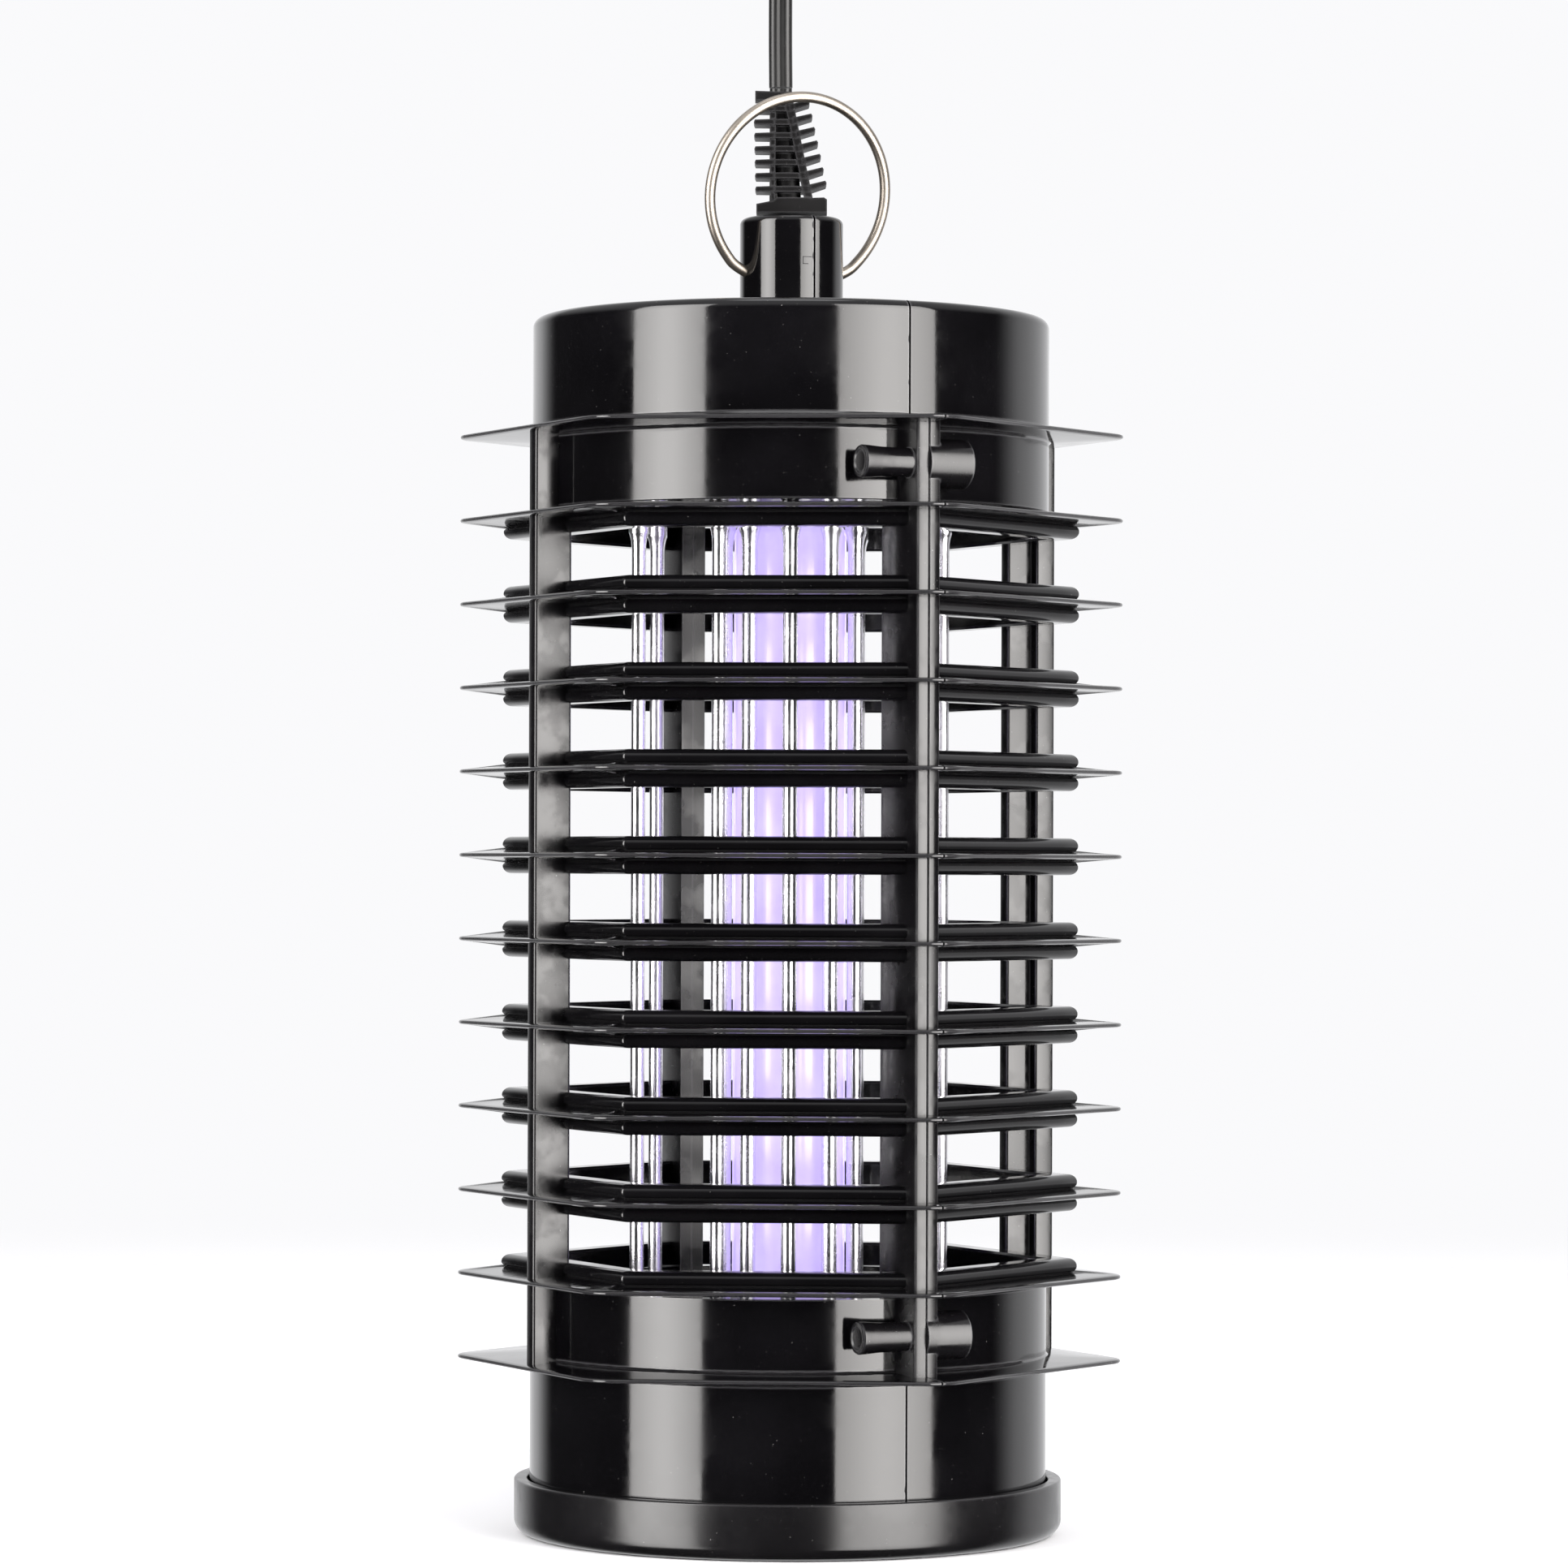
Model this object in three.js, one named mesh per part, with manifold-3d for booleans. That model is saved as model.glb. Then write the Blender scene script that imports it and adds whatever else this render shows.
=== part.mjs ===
// Hanging electric insect lantern with a louvred cage, a lamp, electrode bars and a catch tray.
// Millimetres, +Z up. The two half shells meet on the plane x = 0; the lantern stands on z = 0.
import * as THREE from 'three';
import { mergeVertices } from 'three/addons/utils/BufferGeometryUtils.js';
import Module from 'manifold-3d';

const wasm = await Module();
wasm.setup();

// ---------- driving dimensions ----------
const GAP = 0.3;                 // air between pieces that touch on the real product
const SEAM = 0.15;               // half of the gap between the two shells

const FIN_COUNT = 12;
const FIN_FIRST_Z = 33.9;        // lowest fin, mid thickness
const FIN_PITCH = 16.39;
const FIN_TIP_T = 0.9;
const FIN_ROOT_T = 2.2;          // fins thicken from the tip to the bars
const FIN_REACH = 65;            // axis to the tip of a hexagon corner
const FIN_CORNER = 8;            // corner radius of the fin outline
const BAR_RISE = 3.6;            // from a fin's middle plane to the free face of a bar
const BAR_REACH = 56.5;
const BAR_CORNER = 0.9;
const CAGE_APOTHEM = 43.5;       // flat-to-axis distance of the cage's inner wall

const DRUM_R = 50.5;
const WALL = 2.2;
const DRUM_TOP = 237.1;
const DRUM_EDGE = 3;
const NECK_R = 10.1;
const NECK_TOP = 257;
const NECK_BORE = 4;

const TRAY_R = 53.5;
const TRAY_H = 10.8;
const TRAY_FLOOR = 2.3;

const POST_T = 3.3;
const POST_IN = 47.6;
const POST_OUT = 55.3;
const LIP_IN = 52.8;             // lip along the front of the right shell's middle post
const LIP_OUT = 56.9;
const LIP_Y = -4;
const RIB_W = 2.3;               // half width of a seam post
const RIB_IN = 44;
const RIB_OUT = 58.6;

const BOSS_Y = 55;
const BOSS_LEFT_R = 2.85;
const BOSS_LEFT_L = 10.6;
const BOSS_RIGHT_R = 4.7;
const BOSS_RIGHT_L = 7;

const RING_WIRE = 2.1;
const RING_R = 19;
const RING_RISE = 14.8;          // ring centre above its hinge axis
const RING_Z = 247;
const RING_LEAN = 11;            // degrees towards -Y

const ROD_D = 2.8;
const ROD_CIRCLE = 29.7;
const GRID_D = 3;
const GRID_CIRCLE = 13.45;
const LAMP_R = 11;

const CORD_W = 4.6;
const CORD_T = 2.8;
const CORD_HEADING = -26.3;      // degrees; the cord's own frame is turned about Z by this

const finZ = (level) => FIN_FIRST_Z + FIN_PITCH * (level - 1);
const rad = THREE.MathUtils.degToRad;
const DRUM_BOTTOM = finZ(11) + FIN_ROOT_T / 2 + GAP;
const LOWER_TOP = finZ(2) - FIN_ROOT_T / 2 - GAP;
const BOSS_Z = [(finZ(1) + finZ(2)) / 2, (finZ(11) + finZ(12)) / 2];

// ---------- materials ----------
const paint = (name, color, roughness, metalness = 0) =>
  new THREE.MeshStandardMaterial({ name, color, roughness, metalness });
const glossBlack = () => paint('gloss_black', 0x0c0c0f, 0.22);
const satinBlack = () => paint('satin_black', 0x141416, 0.4);
const steel = () => paint('steel', 0xb4afa6, 0.28, 1);
const brightRod = () => paint('bright_rod', 0xd4d4da, 0.16, 1);
const cordBlack = () => paint('cord_black', 0x111113, 0.5);

// ---------- solids and booleans ----------
function solidOf(geometry) {
  const bare = geometry.clone();
  bare.deleteAttribute('normal');
  bare.deleteAttribute('uv');
  const merged = mergeVertices(bare, 1e-4);
  return new wasm.Manifold(new wasm.Mesh({
    numProp: 3,
    vertProperties: new Float32Array(merged.attributes.position.array),
    triVerts: new Uint32Array(merged.index.array),
  }));
}

function geometryOf(solid) {
  const mesh = solid.getMesh();
  const geometry = new THREE.BufferGeometry();
  geometry.setAttribute('position', new THREE.BufferAttribute(mesh.vertProperties, 3));
  geometry.setIndex(new THREE.BufferAttribute(mesh.triVerts, 1));
  geometry.computeVertexNormals();
  return geometry;
}

const joined = (...geometries) => geometries.map(solidOf).reduce((a, b) => a.add(b));
const cutBy = (solid, ...geometries) => geometries.map(solidOf).reduce((a, b) => a.subtract(b), solid);

// A box given by its lowest and highest corners.
function boxAt(x0, x1, y0, y1, z0, z1) {
  const box = new THREE.BoxGeometry(x1 - x0, y1 - y0, z1 - z0);
  return box.translate((x0 + x1) / 2, (y0 + y1) / 2, (z0 + z1) / 2);
}

// A turned solid about Z; the profile [r, z] is closed on itself or starts and ends on the axis.
function turned(profile, segments = 32) {
  const points = profile.map(([r, z]) => new THREE.Vector2(r, z));
  return new THREE.LatheGeometry(points, segments).rotateX(Math.PI / 2);
}

// A round bar along X from x0 to x1.
function barX(radius, x0, x1, y, z, segments = 16) {
  const bar = new THREE.CylinderGeometry(radius, radius, Math.abs(x1 - x0), segments);
  return bar.rotateZ(Math.PI / 2).translate((x0 + x1) / 2, y, z);
}

// A round bar along Z.
function barZ(radius, x, y, z0, z1, segments = 8) {
  const bar = new THREE.CylinderGeometry(radius, radius, z1 - z0, segments);
  return bar.rotateX(Math.PI / 2).translate(x, y, (z0 + z1) / 2);
}

// Keeps the part of a solid on one side of the seam plane: side is -1 (left) or 1 (right).
function halfOf(solid, side) {
  const keep = side > 0 ? boxAt(SEAM, 200, -200, 200, -10, 400) : boxAt(-200, -SEAM, -200, 200, -10, 400);
  return solid.intersect(solidOf(keep));
}

const root = new THREE.Group();

function addMesh(name, geometry, material, parent = root) {
  const mesh = new THREE.Mesh(geometry, material);
  mesh.name = name;
  parent.add(mesh);
  return mesh;
}

// ---------- outlines ----------
const COS30 = Math.cos(Math.PI / 6);

// Hexagon with corners on +Y and -Y; reach is the axis-to-tip distance of a rounded corner.
function hexagon(reach, corner) {
  const centre = reach - corner;
  const outline = new THREE.Shape();
  for (let k = 0; k < 6; k += 1) {
    const angle = Math.PI / 2 + (k * Math.PI) / 3;
    outline.absarc(centre * Math.cos(angle), centre * Math.sin(angle), corner,
      angle - Math.PI / 6, angle + Math.PI / 6, false);
  }
  outline.closePath();
  return outline;
}

function plate(outline, z0, z1, curveSegments = 3) {
  const flat = new THREE.ExtrudeGeometry(outline, { depth: z1 - z0, bevelEnabled: false, curveSegments });
  return flat.translate(0, 0, z0);
}

// ---------- posts ----------
// Clearance volumes of all the posts, grown by grow, for the slots that they pass through.
function postVolumes(grow, z0, z1) {
  const t = POST_T / 2 + grow;
  const volumes = [
    boxAt(-POST_OUT - grow, -POST_IN + grow, -t, t, z0, z1),
    boxAt(POST_IN - grow, POST_OUT + grow, -t, t, z0, z1),
    boxAt(LIP_IN - grow, LIP_OUT + grow, LIP_Y - grow, t, z0, z1),
  ];
  for (const end of [-1, 1]) {
    const near = end * (RIB_IN - grow);
    const far = end * (RIB_OUT + grow);
    volumes.push(boxAt(-RIB_W - grow, RIB_W + grow, Math.min(near, far), Math.max(near, far), z0, z1));
  }
  return volumes;
}

const POST_Z0 = finZ(1) + FIN_ROOT_T / 2 + GAP;
const POST_Z1 = finZ(12) - FIN_ROOT_T / 2 - GAP;

// Cuts back whatever would run into the drums, where a post only keeps its outer part.
function clearOfDrums(solid) {
  const room = DRUM_R + GAP;
  const lower = barZ(room, 0, 0, 0, finZ(2), 48);
  const upper = barZ(room, 0, 0, finZ(11), DRUM_TOP, 48);
  return cutBy(solid, lower, upper);
}

function midPost(side) {
  const x = [side * POST_IN, side * POST_OUT].sort((a, b) => a - b);
  let post = solidOf(boxAt(x[0], x[1], -POST_T / 2, POST_T / 2, POST_Z0, POST_Z1));
  if (side > 0) post = post.add(solidOf(boxAt(LIP_IN, LIP_OUT, LIP_Y, POST_T / 2, POST_Z0, POST_Z1)));
  return geometryOf(clearOfDrums(post));
}

// Half of a seam post with its two screw bosses; end is -1 (front) or 1 (rear).
function seamPost(side, end) {
  const x = [side * SEAM, side * RIB_W].sort((a, b) => a - b);
  const y = [end * RIB_IN, end * RIB_OUT].sort((a, b) => a - b);
  let post = solidOf(boxAt(x[0], x[1], y[0], y[1], POST_Z0, POST_Z1));
  const isLeft = side < 0;
  const bossR = isLeft ? BOSS_LEFT_R : BOSS_RIGHT_R;
  const bossEnd = isLeft ? -RIB_W - BOSS_LEFT_L : RIB_W + BOSS_RIGHT_L;
  for (const z of BOSS_Z) {
    post = post.add(solidOf(barX(bossR, side * SEAM, bossEnd, end * BOSS_Y, z, 20)));
  }
  post = clearOfDrums(post);
  for (const z of BOSS_Z) {
    if (isLeft) {
      post = cutBy(post, barX(1.65, 1, -RIB_W - BOSS_LEFT_L + 1.4, end * BOSS_Y, z, 12));
    } else {
      post = cutBy(post,
        barX(1.75, -1, 20, end * BOSS_Y, z, 12),
        barX(3, RIB_W + 2.2, 20, end * BOSS_Y, z, 16));
    }
  }
  return geometryOf(post);
}

// ---------- louvres ----------
// A full hexagonal disc that thickens from its tip to the reach of the bars.
function finDisc(z) {
  const tip = plate(hexagon(FIN_REACH, FIN_CORNER), z - FIN_TIP_T / 2, z + FIN_TIP_T / 2);
  const middle = plate(hexagon(BAR_REACH, BAR_CORNER), z - FIN_ROOT_T / 2, z + FIN_ROOT_T / 2, 1);
  return wasm.Manifold.hull([solidOf(tip), solidOf(middle)]);
}

// One level of the cage: the fin with a bar above it, below it, or both.
function louvreSolid(barAbove, barBelow) {
  let level = finDisc(0);
  const bar = (z0, z1) => solidOf(plate(hexagon(BAR_REACH, BAR_CORNER), z0, z1, 1));
  if (barAbove) level = level.add(bar(0, BAR_RISE));
  if (barBelow) level = level.add(bar(-BAR_RISE, 0));
  level = cutBy(level, plate(hexagon(CAGE_APOTHEM / COS30, 0.4), -10, 10));
  return cutBy(level, ...postVolumes(GAP, -10, 10));
}

function addLouvres() {
  const kinds = {
    lowest: louvreSolid(true, false),
    middle: louvreSolid(true, true),
    highest: louvreSolid(false, true),
  };
  const halves = {};
  for (const [kind, solid] of Object.entries(kinds)) {
    halves[kind] = { left: geometryOf(halfOf(solid, -1)), right: geometryOf(halfOf(solid, 1)) };
  }
  for (let level = 2; level < FIN_COUNT; level += 1) {
    let kind = 'middle';
    if (level === 2) kind = 'lowest';
    if (level === FIN_COUNT - 1) kind = 'highest';
    for (const side of ['left', 'right']) {
      const name = `${side}_louvre_${String(level).padStart(2, '0')}`;
      addMesh(name, halves[kind][side], glossBlack()).position.z = finZ(level);
    }
  }
}

// ---------- housings ----------
// The plain fin round a drum, open inside the drum's wall.
const endFin = (level) => cutBy(finDisc(finZ(level)), barZ(DRUM_R - 1, 0, 0, 0, DRUM_TOP, 48));

function upperHousing(side) {
  const inner = DRUM_R - WALL;
  const roof = DRUM_TOP - WALL;
  const drum = turned([
    [NECK_BORE, roof], [inner - 1, roof], [inner, roof - 1], [inner, DRUM_BOTTOM], [DRUM_R, DRUM_BOTTOM],
    [DRUM_R, DRUM_TOP - DRUM_EDGE], [DRUM_R - 0.9, DRUM_TOP - 0.9], [DRUM_R - DRUM_EDGE, DRUM_TOP],
    [NECK_R, DRUM_TOP], [NECK_R, NECK_TOP - 1.2], [NECK_R - 1.2, NECK_TOP], [NECK_BORE, NECK_TOP],
    [NECK_BORE, roof],
  ], 48);
  const body = solidOf(drum).add(endFin(12));
  const ringHole = barX(RING_WIRE / 2 + 0.35, side * 7.1, side * 14, 0, RING_Z, 12);
  return geometryOf(halfOf(cutBy(body, ringHole), side));
}

function lowerHousing(side) {
  const inner = DRUM_R - WALL;
  const drum = turned([
    [inner, TRAY_FLOOR + GAP], [DRUM_R, TRAY_FLOOR + GAP], [DRUM_R, LOWER_TOP],
    [inner, LOWER_TOP], [inner, TRAY_FLOOR + GAP],
  ], 48);
  return geometryOf(halfOf(solidOf(drum).add(endFin(1)), side));
}

function catchTray() {
  const inner = DRUM_R + 0.4;
  return turned([
    [0, 0], [TRAY_R - 2.3, 0], [TRAY_R - 0.8, 0.6], [TRAY_R, 2.4], [TRAY_R, TRAY_H - 0.4],
    [TRAY_R - 0.4, TRAY_H], [inner + 0.5, TRAY_H], [inner, TRAY_H - 0.5], [inner, TRAY_FLOOR],
    [0, TRAY_FLOOR],
  ], 48);
}

// Self-tapping screw from the right shell into the left shell's blind boss.
function shellScrew(end, z) {
  const head = barX(2.6, RIB_W + 2.5, RIB_W + 4.5, end * BOSS_Y, z, 16);
  const shank = barX(1.35, -8.5, RIB_W + 2.7, end * BOSS_Y, z, 10);
  return geometryOf(joined(head, shank));
}

// ---------- hanging ring and strain relief ----------
function sweep(curve, section, steps) {
  return new THREE.ExtrudeGeometry(section, { steps, extrudePath: curve, bevelEnabled: false, curveSegments: 4 });
}

function roundSection(diameter, sides = 8) {
  const section = new THREE.Shape();
  for (let k = 0; k < sides; k += 1) {
    const angle = (2 * Math.PI * k) / sides;
    const x = (diameter / 2) * Math.cos(angle);
    const y = (diameter / 2) * Math.sin(angle);
    if (k === 0) section.moveTo(x, y);
    else section.lineTo(x, y);
  }
  section.closePath();
  return section;
}

// The ring in its own plane XZ, hinge axis through the origin along X.
function hangingRing() {
  const points = [new THREE.Vector3(7.6, 0, 0), new THREE.Vector3(9.4, 0, 0)];
  for (let angle = -48; angle <= 228; angle += 12) {
    const a = rad(angle);
    points.push(new THREE.Vector3(RING_R * Math.cos(a), 0, RING_RISE + RING_R * Math.sin(a)));
  }
  points.push(new THREE.Vector3(-9.4, 0, 0), new THREE.Vector3(-7.6, 0, 0));
  return sweep(new THREE.CatmullRomCurve3(points, false, 'centripetal'), roundSection(RING_WIRE), 44);
}

const RELIEF_Z0 = NECK_TOP + 0.9;      // the leaning foot just clears the neck
const RELIEF_H = 24;

// Moulded fishbone relief, standing on z = 0 of its own frame.
function strainRelief() {
  let relief = joined(boxAt(-6.85, 6.85, -3.3, 3.3, 0, 4.2), boxAt(-3, 3, -2.3, 2.3, 0, RELIEF_H));
  const ribs = 6;
  for (let k = 0; k < ribs; k += 1) {
    const z = 5.8 + 2.6 * k;
    const halfWidth = 6.6 - (1.3 * k) / (ribs - 1);
    relief = relief.add(solidOf(boxAt(-halfWidth, halfWidth, -3.1, 3.1, z, z + 1.35)));
  }
  return geometryOf(relief.add(solidOf(boxAt(-5.25, 5.25, -2.4, 2.4, RELIEF_H - 2.6, RELIEF_H))));
}

// ---------- inside the cage ----------
const UPPER_PLATE_Z = DRUM_BOTTOM + 0.9;
const LOWER_PLATE_Z = LOWER_TOP - 5.4;
const PLATE_T = 2.4;
const BUS_T = 1.2;
const CASE_Z = UPPER_PLATE_Z + PLATE_T + GAP;      // floor of the space over the upper plate

const rodAngles = (phase) => [0, 1, 2, 3].map((k) => rad(CORD_HEADING + phase + 90 * k));
const gridAngles = (phase) => [0, 1, 2, 3, 4].map((k) => rad(CORD_HEADING - 90 + phase + 72 * k));

// Bars on a circle joined by a flat bus ring at their upper or lower end.
function barSet(angles, circle, diameter, z0, z1, busAtTop) {
  const bus = busAtTop ? [z1 - BUS_T, z1] : [z0, z0 + BUS_T];
  const half = diameter / 2 + 0.6;
  const ring = turned([
    [circle - half, bus[0]], [circle + half, bus[0]], [circle + half, bus[1]],
    [circle - half, bus[1]], [circle - half, bus[0]],
  ], 40);
  const bars = angles.map((a) => barZ(diameter / 2, circle * Math.cos(a), circle * Math.sin(a), z0, z1));
  return geometryOf(joined(ring, ...bars));
}

function insulatorPlate(z, spokes) {
  const rim = DRUM_R - WALL - 0.4;
  const hub = 34;
  let disc = solidOf(barZ(spokes ? hub : rim, 0, 0, z, z + PLATE_T, 40));
  if (spokes) {
    const band = turned([[rim - 2, z], [rim, z], [rim, z + PLATE_T], [rim - 2, z + PLATE_T], [rim - 2, z]], 40);
    disc = disc.add(solidOf(band));
    for (let k = 0; k < 4; k += 1) {
      const spoke = boxAt(hub - 2, rim - 1, -2, 2, z, z + PLATE_T).rotateZ(rad(45 + 90 * k));
      disc = disc.add(solidOf(spoke));
    }
  }
  const hole = (circle, diameter, a) =>
    barZ(diameter / 2 + GAP, circle * Math.cos(a), circle * Math.sin(a), z - 1, z + PLATE_T + 1);
  const rodHoles = [...rodAngles(0), ...rodAngles(-27.3)].map((a) => hole(ROD_CIRCLE, ROD_D, a));
  const gridHoles = [...gridAngles(0), ...gridAngles(36)].map((a) => hole(GRID_CIRCLE, GRID_D, a));
  return cutBy(disc, ...rodHoles, ...gridHoles);
}

function addGrids() {
  const above = UPPER_PLATE_Z + PLATE_T;
  const below = LOWER_PLATE_Z;
  // A set either ends in a bus ring over the upper plate or under the lower plate.
  const topBus = [below + 0.6, above + GAP + BUS_T, true];
  const bottomBus = [below - GAP - BUS_T, above - 0.6, false];
  addMesh('outer_rods_live', barSet(rodAngles(0), ROD_CIRCLE, ROD_D, ...topBus), brightRod());
  addMesh('outer_rods_neutral', barSet(rodAngles(-27.3), ROD_CIRCLE, ROD_D, ...bottomBus), brightRod());
  addMesh('lamp_grid_live', barSet(gridAngles(0), GRID_CIRCLE, GRID_D, ...topBus), brightRod());
  addMesh('lamp_grid_neutral', barSet(gridAngles(36), GRID_CIRCLE, GRID_D, ...bottomBus), brightRod());
}

function addLamp() {
  const capZ = UPPER_PLATE_Z - 0.9;
  const lampZ = [62, capZ - 9 - GAP];
  const tube = turned([
    [0, lampZ[0]], [5, lampZ[0] + 1], [9, lampZ[0] + 4.5], [LAMP_R, lampZ[0] + 11],
    [LAMP_R, lampZ[1] - 4], [LAMP_R - 2, lampZ[1]], [0, lampZ[1]],
  ], 24);
  addMesh('uv_lamp', tube, paint('lamp_glass', 0xe9e4ff, 0.25));
  const cap = turned([[0, capZ - 9], [9.8, capZ - 9], [9.8, capZ], [0, capZ]], 24);
  addMesh('lamp_cap', cap, paint('lamp_cap', 0xd8d8d8, 0.4));
  const holder = turned([
    [0, CASE_Z], [9.4, CASE_Z], [9.4, CASE_Z + 9], [7, CASE_Z + 12], [0, CASE_Z + 12],
  ], 24);
  addMesh('lamp_holder', holder, paint('holder_white', 0xdcdad2, 0.5));
}

function addElectronics() {
  const board = CASE_Z + 13;
  addMesh('circuit_board', boxAt(-30, 30, -20, 20, board, board + 1.6), paint('board', 0x2f5a34, 0.5));
  const z = board + 1.6 + GAP;
  addMesh('ballast_choke', boxAt(-24, -8, -9, 9, z, z + 12), paint('choke', 0x6b5a3a, 0.5));
  addMesh('film_capacitor', boxAt(12, 26, -12, -4, z, z + 11), paint('capacitor', 0x8a2a1c, 0.4));
  addMesh('filter_capacitor', barZ(6, 18, 8, z, z + 12, 20), paint('can', 0x202a4a, 0.35));
  addMesh('cord_clamp', boxAt(-4, 6, 10, 16, z, z + 5), satinBlack());
}

// ---------- mains cord ----------
const FLOOR_LIFT = 0.9;                       // coil above the ground, the tie's band under it
const COIL_IN = 20.4;
const COIL_OUT = 29.8;
const COIL_H = 2 * CORD_W + 0.2;
const COIL_CENTRE = [-17.3, 105];

// Route of the cord from the top of the relief to the coil, in the cord's own frame.
const CORD_ROUTE = [
  [-2.2, 0, 282.7], [-2.3, 0, 292], [-2.3, 0.6, 304],
  [-2.3, 4.6, 318.6], [-2.3, 15.3, 329.4], [-2.3, 30, 333.4], [-2.3, 44.7, 329.4], [-2.3, 55.6, 318.6],
  [-2.3, 59.8, 304], [-2.3, 60.2, 285], [-2.3, 60.2, 250], [-2.3, 60.2, 210], [-2.3, 60.2, 170],
  [-2.3, 60.2, 130], [-2.3, 60.2, 90], [-2.3, 60.2, 55], [-2.3, 60.4, 28],
  [-1.4, 63, 14.2], [1.1, 70.7, 6.4], [4.5, 81.1, 3.2],
];
// From the coil round to the plug, which lies on the coil.
const TAIL_ROUTE = [
  [-45.8, 90.5, 8.1], [-45.8, 84, 9], [-45.4, 76, 10.3], [-42, 67.4, 12], [-35.6, 61.4, 13.6],
  [-27.2, 59.3, 15], [-18.8, 61.4, 16.2], [-12.4, 67.4, 17], [-9, 76, 17.4], [-8.8, 79.7, 17.45],
];
const PLUG_AT = [-8.8, 80, FLOOR_LIFT + COIL_H + GAP];

// The cord's section: lying flat, or standing on its edge.
function flatSection(onEdge) {
  const w = (onEdge ? CORD_T : CORD_W) / 2;
  const t = (onEdge ? CORD_W : CORD_T) / 2;
  const c = 0.9;
  const section = new THREE.Shape();
  section.moveTo(-w, -t + c);
  section.lineTo(-w + c, -t);
  section.lineTo(w - c, -t);
  section.lineTo(w, -t + c);
  section.lineTo(w, t - c);
  section.lineTo(w - c, t);
  section.lineTo(-w + c, t);
  section.lineTo(-w, t - c);
  section.closePath();
  return section;
}

function cordTube(route, steps, onEdge) {
  const points = route.map(([x, y, z]) => new THREE.Vector3(x, y, z));
  return sweep(new THREE.CatmullRomCurve3(points, false, 'centripetal'), flatSection(onEdge), steps);
}

// A band round one side of the coil.
function cordTie() {
  const inner = COIL_IN - 0.4;
  const outer = COIL_OUT + 0.4;
  const band = joined(boxAt(-outer - 0.6, -inner + 0.6, -1.6, 1.6, 0, FLOOR_LIFT + COIL_H + 1));
  return geometryOf(cutBy(band, boxAt(-outer, -inner, -5, 5, 0.6, FLOOR_LIFT + COIL_H + 0.4)));
}

// Two-pin plug lying flat: cord end at y = 0, pins towards +Y.
function plugBody() {
  const outline = new THREE.Shape();
  outline.moveTo(-4, 0);
  outline.lineTo(4, 0);
  outline.lineTo(5, 9);
  outline.lineTo(17.6, 17);
  outline.lineTo(17.6, 36);
  outline.lineTo(-17.6, 36);
  outline.lineTo(-17.6, 17);
  outline.lineTo(-5, 9);
  outline.closePath();
  return new THREE.ExtrudeGeometry(outline, { depth: 13.7, bevelEnabled: false });
}

function plugPin(x) {
  const pin = new THREE.CylinderGeometry(2, 2, 19, 12);
  return pin.translate(x, 36 + GAP + 9.5, 6.85);
}

function addCord() {
  const frame = new THREE.Group();
  frame.rotation.z = rad(CORD_HEADING);
  root.add(frame);
  const relief = addMesh('strain_relief', strainRelief(), satinBlack(), frame);
  relief.position.set(0, 0, RELIEF_Z0);
  relief.rotation.y = rad(-5);
  addMesh('power_cord', cordTube(CORD_ROUTE, 64, false), cordBlack(), frame);
  addMesh('power_cord_tail', cordTube(TAIL_ROUTE, 30, true), cordBlack(), frame);
  const coil = turned([
    [COIL_IN, 0], [COIL_OUT, 0], [COIL_OUT, COIL_H], [COIL_IN, COIL_H], [COIL_IN, 0],
  ], 32);
  addMesh('power_cord_coil', coil, cordBlack(), frame).position.set(...COIL_CENTRE, FLOOR_LIFT);
  addMesh('cord_tie', cordTie(), satinBlack(), frame).position.set(...COIL_CENTRE, 0);
  addMesh('plug_body', plugBody(), cordBlack(), frame).position.set(...PLUG_AT);
  for (const [name, x] of [['plug_pin_left', -9.5], ['plug_pin_right', 9.5]]) {
    addMesh(name, plugPin(x), steel(), frame).position.set(...PLUG_AT);
  }
}

// ---------- assembly ----------
for (const [name, side] of [['left', -1], ['right', 1]]) {
  addMesh(`upper_housing_${name}`, upperHousing(side), glossBlack());
  addMesh(`lower_housing_${name}`, lowerHousing(side), glossBlack());
  addMesh(`mid_post_${name}`, midPost(side), glossBlack());
  addMesh(`front_post_${name}`, seamPost(side, -1), glossBlack());
  addMesh(`rear_post_${name}`, seamPost(side, 1), glossBlack());
}
addLouvres();
addMesh('catch_tray', catchTray(), satinBlack());
for (const [place, end] of [['front', -1], ['rear', 1]]) {
  addMesh(`screw_${place}_lower`, shellScrew(end, BOSS_Z[0]), steel());
  addMesh(`screw_${place}_upper`, shellScrew(end, BOSS_Z[1]), steel());
}
const ring = addMesh('hanging_ring', hangingRing(), steel());
ring.position.z = RING_Z;
ring.rotation.x = rad(RING_LEAN);

addMesh('upper_insulator', geometryOf(insulatorPlate(UPPER_PLATE_Z, false)), glossBlack());
addMesh('lower_insulator', geometryOf(insulatorPlate(LOWER_PLATE_Z, true)), glossBlack());
addGrids();
addLamp();
addElectronics();
addCord();

export default root;
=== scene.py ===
import math

import bmesh
import bpy
from mathutils import Matrix, Vector


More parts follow.
